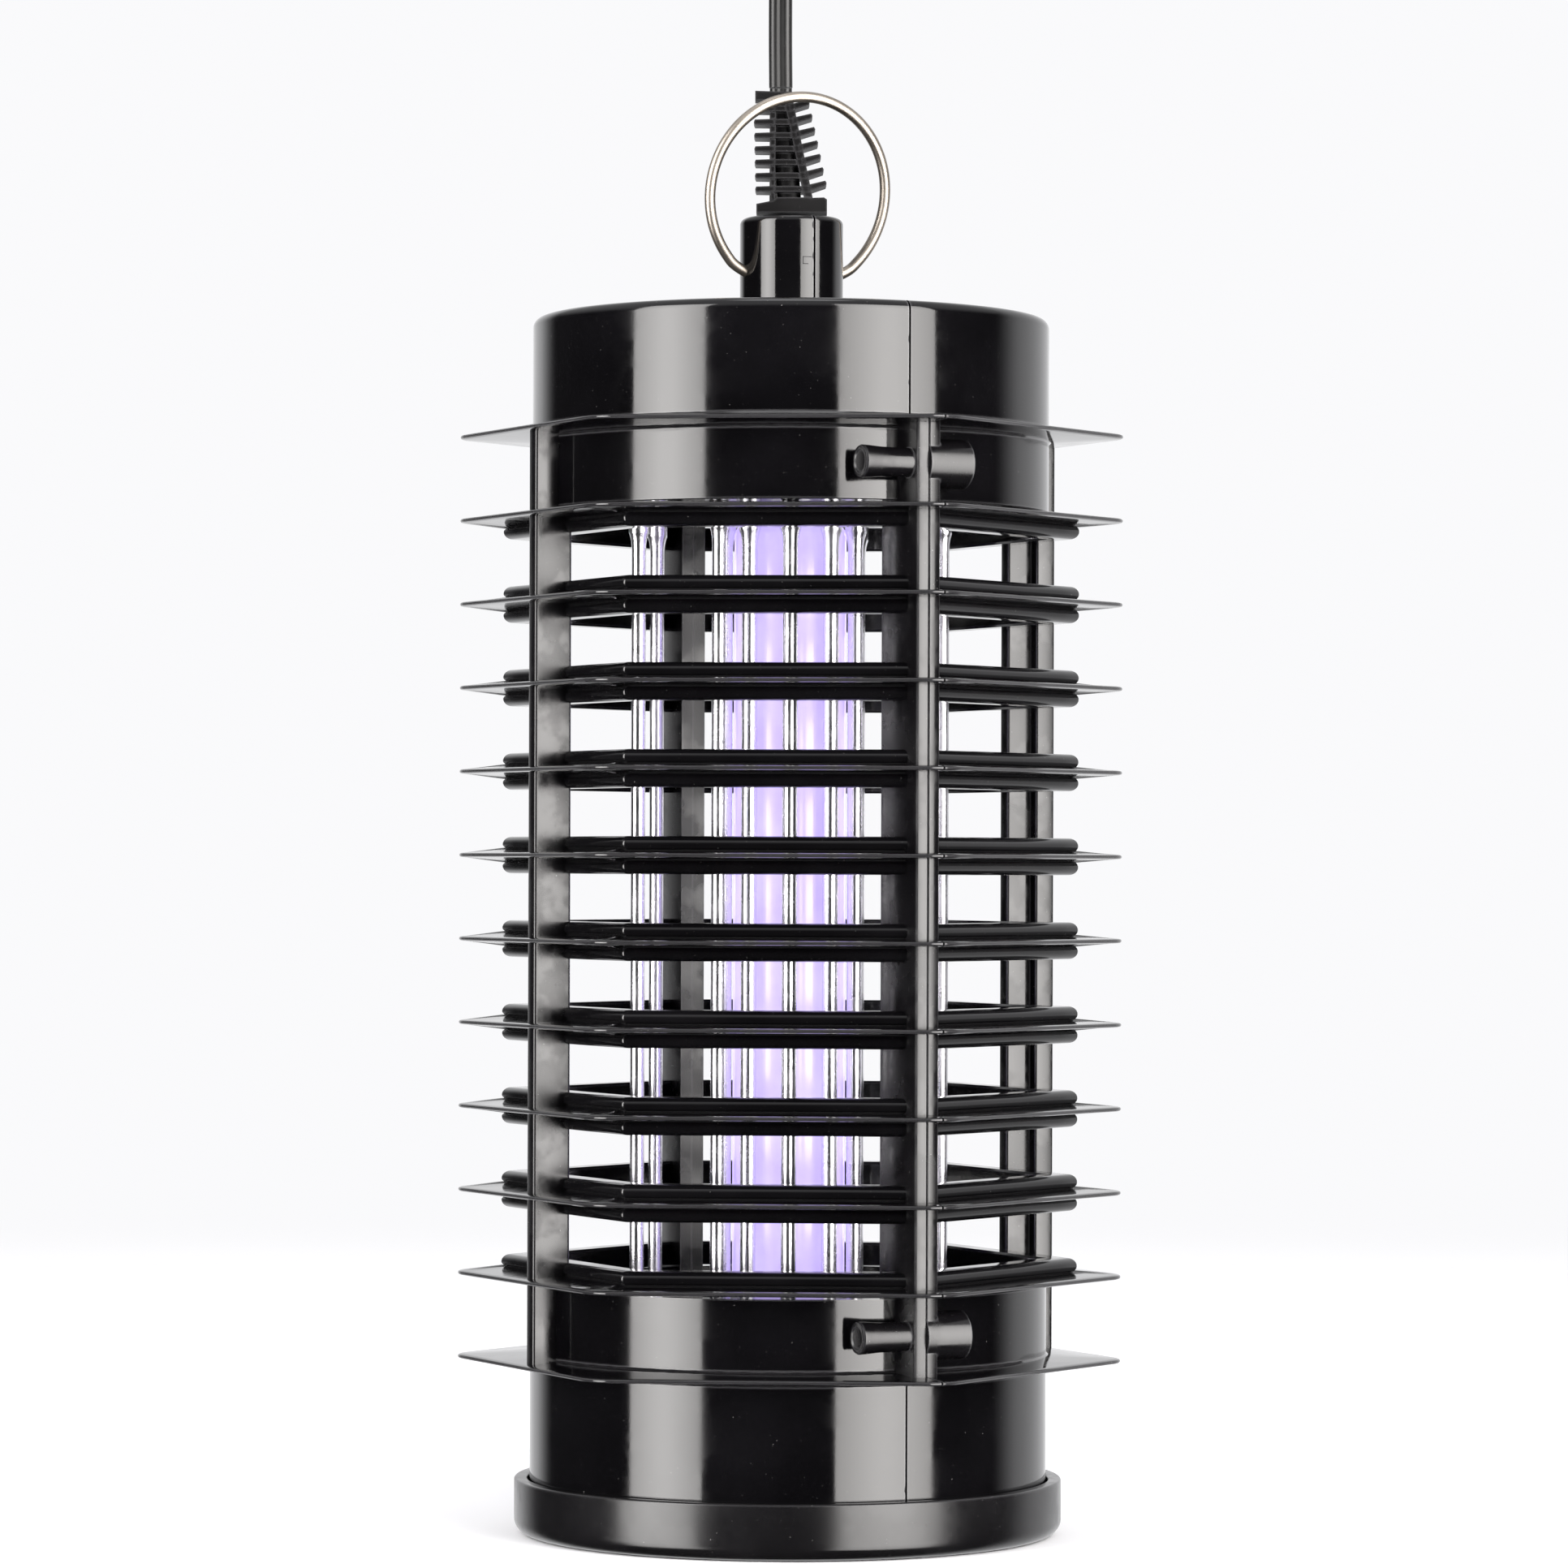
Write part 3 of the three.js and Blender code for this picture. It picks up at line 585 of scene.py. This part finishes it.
def add_seam_post(name, side, place, end):
    """One shell's half of a seam post with its two screw bosses; the halves meet on X = 0."""
    outer, soft, nick = side * RIB_W, 0.7, 0.25
    outline = [(0.0, end * RIB_IN), (outer, end * RIB_IN), (outer, end * (RIB_OUT - soft)),
               (outer - side * soft * 0.3, end * (RIB_OUT - soft * 0.3)),
               (outer - side * soft, end * RIB_OUT), (side * nick, end * RIB_OUT),
               (0.0, end * (RIB_OUT - nick))]
    shape = Shape().add(*prism(outline, *POST_Z))
    boss = spigot if side < 0 else socket_boss
    for z in BOSS_Z:
        shape.add(*boss(end * BOSS_Y, z))
    shape.build(f"{place}_rib_{name}", SMUDGED, "gloss_black", [f"{place}_post_{name}"])


def add_posts():
    for name, side in SIDES:
        add_middle_post(name, side)
        for place, end in ENDS:
            add_seam_post(name, side, place, end)


def screw(y, z):
    """A pan-head self-tapping screw along X with a cross on its head."""
    rows = ((-8.5, 0.3), (-7.2, 1.3), (4.9, 1.35), (5.0, 2.2), (5.3, 2.6), (6.2, 2.6), (6.7, 2.2), (6.9, 1.5))
    shape = Shape().add(*round_bar(rows, y, z))
    arm = [(-0.22, -1.25), (0.22, -1.25), (0.22, 1.25), (-0.22, 1.25)]
    for turn in (0.0, math.pi / 2):
        spin = Matrix.Translation((0, y, z)) @ Matrix.Rotation(turn + 0.4, 4, "X")
        shape.add(*skin([[(x, a, b) for a, b in arm] for x in (6.75, 6.95)]), spin)
    return shape


def add_screws():
    for place, end in ENDS:
        for height, z in zip(("lower", "upper"), BOSS_Z):
            screw(end * BOSS_Y, z).build(f"shell_screw_{place}_{height}", STEEL, "steel",
                                         [f"screw_{place}_{height}"])


def add_tray():
    inner = DRUM_R + 0.4
    profile = [(0, 0), (TRAY_R - 3.2, 0)] + arc(TRAY_R - 2.9, 2.9, 2.9, 270, 360, 8)
    profile += arc(TRAY_R - 0.45, TRAY_H - 0.45, 0.45, 0, 90, 4)
    profile += arc(inner + 0.5, TRAY_H - 0.5, 0.5, 90, 180, 4)
    profile += [(inner, TRAY_FLOOR + 0.8), (inner - 0.8, TRAY_FLOOR), (0, TRAY_FLOOR)]
    Shape().add(*turned(profile, 144)).build("tray", SATIN, "satin_black", ["catch_tray"], "tray")


# ---------- hanging ring, relief, cord ----------
def add_ring():
    """A wire loop, open at the bottom, whose ends turn into the neck."""
    lean = Matrix.Translation((0, 0, RING_Z)) @ Matrix.Rotation(math.radians(RING_LEAN), 4, "X")
    points = [(7.6, -1.5), (9.7, -0.9)] + arc(0, RING_RISE, RING_R, -48, 228, 46)
    points += [(-9.7, -0.9), (-7.6, -1.5)]
    path = [lean @ p for p in smooth_path([(x, 0, z) for x, z in points], 4)]
    wire = tube(path, circle(RING_WIRE / 2, 20), lean.to_3x3() @ Vector((0, 1, 0)))
    Shape().add(*wire).build("wire_ring", STEEL, "steel", ["hanging_ring"], "hanger", 60)


CORD_FRAME = Matrix.Rotation(HEADING, 4, "Z")
RELIEF_Z0, RELIEF_RIBS = NECK_TOP + 0.9, 7


def relief_rib(k):
    """One storey of the relief: a rib to the left, a raised one to the right, and a rung between."""
    z = 4.1 + 2.62 * k
    left, right, spine = -6.95 - 0.06 * k, 6.65 - 0.56 * k, 3.3 - 0.62 * k
    left_rib = [(left, z), (-3.4, z - 0.05), (-3.4, z + 1.15), (left, z + 1.0), (left - 0.2, z + 0.5)]
    right_rib = [(spine, z + 0.1), (right, z + 1.25), (right + 0.15, z + 1.8), (right - 0.1, z + 2.2),
                 (spine, z + 1.4)]
    rung = [(-3.6, z), (spine + 0.3, z), (spine + 0.3, z + 1.15), (-3.6, z + 1.15)]
    return slab(left_rib, 3.1), slab(right_rib, 3.1), slab(rung, 2.9)


def add_relief():
    """Fishbone relief: a foot, ribs on two spines that close in towards a top plate, and the flex."""
    place = CORD_FRAME @ Matrix.Translation((0, 0, RELIEF_Z0))
    foot = [(-6.9, 0.0), (6.9, 0.0), (6.9, 2.6), (6.3, 3.0), (3.6, 2.9), (3.2, 3.0), (-2.9, 3.0),
            (-3.5, 2.4), (-6.9, 1.7)]
    bodies = [slab(foot, 3.3)]
    for k in range(RELIEF_RIBS):
        bodies += relief_rib(k)
    bodies.append(slab([(-4.1, 2.5), (-3.3, 2.5), (-3.1, 21.5), (-4.4, 21.5)], 2.6))
    bodies.append(slab([(2.6, 2.5), (4.2, 2.5), (0.3, 21.5), (-1.4, 21.5)], 3.0))
    bodies.append(slab([(-7.2, 22.0), (2.0, 22.3), (3.2, 22.6), (3.2, 23.6), (-7.2, 23.9)], 2.4))
    core = [(CORD_W / 2 * x, CORD_T / 2 * y) for x, y in circle(1.0, 20)]
    route = smooth_path([(-0.4, 0, 2.0), (-1.2, 0, 12.0), (-2.2, 0, 23.8)], 6)
    bodies.append(tube(route, core, Vector((1, 0, 0))))
    shape = Shape()
    for body in bodies:
        shape.add(*body, place)
    shape.build("cord_relief", GRAINED, "satin_black", ["strain_relief"])


# The cord's route from the relief to the coil and from the coil to the plug, in its own frame.
CORD_ROUTE = [
    (-2.2, 0, 282.7), (-2.3, 0, 292), (-2.3, 0.6, 304),
    (-2.3, 4.6, 318.6), (-2.3, 15.3, 329.4), (-2.3, 30, 333.4), (-2.3, 44.7, 329.4), (-2.3, 55.6, 318.6),
    (-2.3, 59.8, 304), (-2.3, 60.2, 285), (-2.3, 60.2, 250), (-2.3, 60.2, 210), (-2.3, 60.2, 170),
    (-2.3, 60.2, 130), (-2.3, 60.2, 90), (-2.3, 60.2, 55), (-2.3, 60.4, 28),
    (-1.4, 63, 14.2), (1.1, 70.7, 6.4), (4.5, 81.1, 3.2),
]
TAIL_ROUTE = [
    (-45.8, 90.5, 8.1), (-45.8, 84, 9), (-45.4, 76, 10.3), (-42, 67.4, 12), (-35.6, 61.4, 13.6),
    (-27.2, 59.3, 15), (-18.8, 61.4, 16.2), (-12.4, 67.4, 17), (-9, 76, 17.4), (-8.8, 79.7, 17.45),
]
COIL_CENTRE = (-17.3, 105.0)
COIL_OUTER, COIL_DROP, COIL_Z = 28.2, 6.6, (3.2, 7.8)
COIL_START, COIL_STOP = math.radians(-18), math.radians(4 * 360 + 180)


def coil_points(per_turn=24):
    """Inwards on the ground layer, then up and outwards on the second layer."""
    steps = round(per_turn * (COIL_STOP - COIL_START) / (2 * math.pi))
    points = []
    for t in (k / steps for k in range(steps + 1)):
        a = COIL_START + (COIL_STOP - COIL_START) * t
        radius = COIL_OUTER - COIL_DROP * (1 - abs(2 * t - 1))
        z = COIL_Z[0] + (COIL_Z[1] - COIL_Z[0]) * smoothstep((t - 0.45) / 0.1)
        points.append((COIL_CENTRE[0] + radius * math.cos(a), COIL_CENTRE[1] + radius * math.sin(a), z))
    return points


def twin_section():
    """Flat two-core flex: two round lobes with a groove between them on each side."""
    lobe = CORD_T / 2
    centre = CORD_W / 2 - lobe
    return arc(centre, 0, lobe, -120, 120, 14) + arc(-centre, 0, lobe, 60, 300, 14)


def flex_widths(path, along, coil_at):
    """The direction of the flex's width at each point: upright in the coil, lying flat elsewhere."""
    up = Vector((0, 0, 1))
    last = len(path) - 1
    widths = []
    for k, run in enumerate(along):
        upright = smoothstep((run - coil_at + 16) / 30) - smoothstep((run - along[-1] + 34) / 30)
        ahead = path[min(k + 1, last)] - path[max(k - 1, 0)]
        flat = Vector((1, 0, 0)) if run < coil_at + 20 else ahead.cross(up).normalized()
        turn = upright * math.pi / 2
        widths.append(CORD_FRAME.to_3x3() @ (flat * math.cos(turn) + up * math.sin(turn)))
    return widths


def add_cord():
    path = smooth_path(CORD_ROUTE + coil_points() + TAIL_ROUTE, 6)
    along = [0.0]
    for a, b in zip(path, path[1:]):
        along.append(along[-1] + (b - a).length)
    coil_at = along[min(range(len(path)), key=lambda k: (path[k] - Vector(CORD_ROUTE[-1])).length)]
    world = [CORD_FRAME @ p for p in path]
    shape = Shape().add(*tube(world, twin_section(), flex_widths(path, along, coil_at)))
    cord = shape.build("mains_cord", SHEATH, "cord_black",
                       ["power_cord", "power_cord_coil", "power_cord_tail"], smooth_angle=50)


PLUG_AT = (-8.8, 80.0, 10.6)
PLUG_MIDDLE, GRIP_RIBS = 6.85, 3


def plug_ring(y, half_width, half_height, radius):
    """A rounded section across the plug, about its middle line."""
    outline = rounded_box(-half_width, half_width, -half_height, half_height, radius, 5)
    return [(x, y, PLUG_MIDDLE + z) for x, z in outline]


def add_plug():
    """Flat two-pin plug on its side, with a ribbed cord end."""
    place = CORD_FRAME @ Matrix.Translation(PLUG_AT)
    rows = ((0.2, 3.2, 2.6), (0.6, 3.8, 3.0), (8.0, 4.8, 3.8), (9.0, 5.4, 4.2), (13.0, 10.5, 5.6),
            (16.5, 16.2, 6.5), (19.0, 17.4, 6.85), (33.0, 17.6, 6.85), (35.2, 17.2, 6.6), (35.9, 16.4, 5.8))
    shape = Shape().add(*skin([plug_ring(y, w, h, min(h * 0.75, 4.5)) for y, w, h in rows]), place)
    grip = ((0.0, 4.0, 3.2), (0.2, 4.7, 3.9), (1.0, 4.7, 3.9), (1.2, 4.0, 3.2))
    for start in (2.0 + 2.3 * k for k in range(GRIP_RIBS)):
        shape.add(*skin([plug_ring(start + y, w, h, h * 0.8) for y, w, h in grip]), place)
    shape.build("mains_plug", SATIN, "cord_black", ["plug_body"])
    rows = ((36.3, 1.9), (36.4, 2.0), (46.0, 2.0), (46.05, 1.92), (53.9, 1.92), (54.8, 1.5), (55.2, 0.7))
    for name, node, x in (("plug_pin_a", "plug_pin_left", -9.5), ("plug_pin_b", "plug_pin_right", 9.5)):
        rings = [[(a, y, b) for a, b in circle(r, 24, x, PLUG_MIDDLE)] for y, r in rows]
        Shape().add(*skin(rings), place).build(name, STEEL, "steel", [node])


def add_tie():
    """A strap round one side of the coil."""
    place = CORD_FRAME @ Matrix.Translation((*COIL_CENTRE, 0))
    strap, half_width = 0.55, 1.6
    outer = rounded_box(-30.8, -19.4, 0.0, 11.2, 1.2, 6)
    inner = rounded_box(-30.8 + strap, -19.4 - strap, strap, 11.2 - strap, 1.2 - strap * 0.6, 6)
    rows = ((outer, -half_width), (outer, half_width), (inner, half_width), (inner, -half_width))
    rings = [[(x, y, z) for x, z in outline] for outline, y in rows]
    Shape().add(*skin(rings, closed=True), place).build("coil_tie", SATIN, "satin_black", ["cord_tie"])


# ---------- inside the cage ----------
# Growth of a bar's radius at distances below the upper plate.
FLARE = ((8.2, 0.0), (6.9, 0.06), (5.9, 0.19), (5.2, 0.38), (4.8, 0.55), (4.5, 0.62), (0.2, 0.62))


def spread(count, phase):
    """Directions spaced evenly round the axis, the first one at phase degrees from the heading."""
    return [HEADING + math.radians(phase + 360 / count * k) for k in range(count)]


def electrode_set(name, node, angles, circle_r, diameter, bus_on_top):
    """Polished bars that flare at the upper plate, on a flat bus ring."""
    top, bottom = UPPER_PLATE_Z, LOWER_PLATE_Z
    z0, z1 = (bottom + 0.6, top + PLATE_T + 1.5) if bus_on_top else (bottom - 1.5, top + PLATE_T - 0.6)
    r = diameter / 2
    profile = [(r, z0)] + [(r + flare, top - drop) for drop, flare in FLARE]
    profile += [(r * 0.98, top), (r * 0.98, z1)]
    shape = Shape()
    for a in angles:
        x, y = circle_r * math.cos(a), circle_r * math.sin(a)
        shape.add(*skin([[(*p, z) for p in circle(q, 24, x, y)] for q, z in profile]))
    low, high = (z1 - BUS_T, z1) if bus_on_top else (z0, z0 + BUS_T)
    inner, outer = circle_r - r - 0.6, circle_r + r + 0.6
    shape.add(*turned([(inner, low), (outer, low), (outer, high), (inner, high)]))
    shape.build(name, BRIGHT, "bright_rod", [node])


def add_electrodes():
    electrode_set("rods_live", "outer_rods_live", spread(4, 0), ROD_CIRCLE, ROD_D, True)
    electrode_set("rods_neutral", "outer_rods_neutral", spread(4, -27.3), ROD_CIRCLE, ROD_D, False)
    electrode_set("grid_live", "lamp_grid_live", spread(5, -90), GRID_CIRCLE, GRID_D, True)
    electrode_set("grid_neutral", "lamp_grid_neutral", spread(5, -54), GRID_CIRCLE, GRID_D, False)


def add_lamp():
    """The lit tube from plate to plate, with a metal collar above it."""
    cap_top = UPPER_PLATE_Z - 0.9
    low, high = LOWER_PLATE_Z + PLATE_T + 0.4, cap_top - 2.0
    low_edge, high_edge = 4.0, 2.4
    glass = [(0, low)] + arc(LAMP_R - low_edge, low + low_edge, low_edge, 270, 360, 8)
    glass += arc(LAMP_R - high_edge, high - high_edge, high_edge, 0, 90, 6) + [(0, high)]
    Shape().add(*turned(glass)).build("lamp_tube", LAMP, "lamp_glass", ["uv_lamp"])
    foot = high + 0.3
    collar = [(0, foot), (CAP_R - 0.4, foot), (CAP_R, foot + 0.4), (CAP_R, cap_top), (0, cap_top)]
    Shape().add(*turned(collar)).build("lamp_collar", CAP_METAL, "lamp_cap", ["lamp_cap"])


def dress_cad_nodes():
    """Inner pieces whose CAD shape is right get node materials."""
    looks = {
        "upper_insulator": GLOSS, "lower_insulator": GLOSS, "cord_clamp": SATIN,
        "lamp_holder": plain_moulding("holder_ceramic", (0.62, 0.60, 0.55), (0.72, 0.70, 0.66), 0.4),
        "circuit_board": plain_moulding("board_laminate", (0.02, 0.08, 0.03), (0.03, 0.12, 0.05), 0.4),
        "ballast_choke": plain_moulding("choke_tape", (0.45, 0.35, 0.08), (0.55, 0.42, 0.12), 0.5),
        "film_capacitor": plain_moulding("capacitor_dip", (0.25, 0.03, 0.015), (0.33, 0.05, 0.02), 0.3),
        "filter_capacitor": plain_moulding("can_sleeve", (0.02, 0.03, 0.10), (0.03, 0.05, 0.15), 0.35),
    }
    for node, material in looks.items():
        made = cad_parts[node]
        made.data.materials.clear()
        made.data.materials.append(material)


# ---------- stage, in metres ----------
def add_floor():
    """A pale matt floor that fades out with distance and shows in no reflection."""
    bpy.ops.mesh.primitive_plane_add(size=12.0, location=(0, 0, -0.0002))
    floor = bpy.context.object
    floor.name = "floor"
    n = Surface("floor_paint")
    paint = n.mix(n.ramp(n.noise(3.0), 0.3, 0.7), (0.86, 0.86, 0.88), (0.88, 0.88, 0.895))
    n.set(Base_Color=paint, Roughness=0.75)
    reflected = n.node("ShaderNodeLightPath").outputs["Is Glossy Ray"]
    far = n.ramp(n.measure("DISTANCE", n.coords, (0.0, 0.0, 0.0)), 0.25, 1.1)
    clear = n.node("ShaderNodeBsdfTransparent")
    fade = n.node("ShaderNodeMixShader", Fac=n.math("MAXIMUM", reflected, far))
    for socket, shader in zip(fade.inputs[1:], (n.shader, clear)):
        n.put(socket, shader.outputs[0])
    n.put(n.tree.nodes["Material Output"].inputs["Surface"], fade.outputs[0])
    floor.data.materials.append(n.material)


SOFTBOX_DISTANCE, SOFTBOX_HEIGHT, SOFTBOX_Z, SOFTBOX_RADIANCE = 1.3, 2.2, 0.22, 11.0


def add_softbox(name, bearing, width, tint):
    """A tall softbox, dimmer towards its rim; bearing in degrees to the right of the camera."""
    data = bpy.data.lights.new(name, "AREA")
    data.shape = "RECTANGLE"
    data.size, data.size_y = width, SOFTBOX_HEIGHT
    data.energy = SOFTBOX_RADIANCE * math.pi * width * SOFTBOX_HEIGHT
    data.color = tint
    data.use_nodes = True
    n = Nodes(data.node_tree)
    spot = n.node("ShaderNodeNewGeometry").outputs["Parametric"]
    off_centre = n.measure("DISTANCE", spot, (0.5, 0.5, 0.0))
    strength = n.tree.nodes["Emission"].inputs["Strength"]
    n.put(strength, n.ramp(off_centre, 0.1, 0.62, 1.15, 0.6, smooth=False))
    light = bpy.data.objects.new(name, data)
    bpy.context.scene.collection.objects.link(light)
    a = HEADING - math.pi / 2 + math.radians(bearing)
    outwards = Vector((math.cos(a), math.sin(a), 0.0))
    light.location = outwards * SOFTBOX_DISTANCE + Vector((0, 0, SOFTBOX_Z))
    light.rotation_mode = "QUATERNION"
    light.rotation_quaternion = (-outwards).to_track_quat("-Z", "Y")


def add_world():
    """A pale studio: white behind the object, dark before it, and even for the view and for soft light."""
    world = bpy.data.worlds.new("studio")
    bpy.context.scene.world = world
    world.use_nodes = True
    n = Nodes(world.node_tree)
    coords = n.node("ShaderNodeTexCoord").outputs["Generated"]
    behind = HEADING + math.pi / 2 - math.radians(13.5)
    away = n.measure("DOT_PRODUCT", coords, (math.cos(behind), math.sin(behind), 0.0))
    height = n.node("ShaderNodeSeparateXYZ", Vector=coords).outputs["Z"]
    backdrop = n.ramp(away, 0.43, 0.74, 0.03, 1.05)
    ceiling, zenith = n.ramp(height, 0.15, 0.7, 0.0, 0.8), n.ramp(height, 0.955, 0.985, 0.0, 3.0)
    reflected = n.math("MAXIMUM", backdrop, n.math("MAXIMUM", ceiling, zenith))
    rays = n.node("ShaderNodeLightPath").outputs
    even = n.math("MAXIMUM", rays["Is Camera Ray"], rays["Is Diffuse Ray"])
    background = n.tree.nodes["Background"]
    n.put(background.inputs["Strength"],
          n.node("ShaderNodeMix", Factor=even, A=reflected, B=0.97).outputs[0])
    n.put(background.inputs["Color"], (0.985, 0.985, 1.0))


# ---------- build ----------
add_camera()
add_plug()
add_tie()
add_cord()
add_relief()
add_housings()
add_seam_flash()
add_louvres()
add_posts()
add_screws()
add_tray()
add_ring()
add_electrodes()
add_lamp()
dress_cad_nodes()
add_floor()
add_softbox("softbox_left", -55, 0.82, (1.0, 0.98, 0.965))
add_softbox("softbox_right", 43, 1.08, (1.0, 0.975, 0.955))
add_world()
bpy.context.scene.view_settings.view_transform = "Standard"
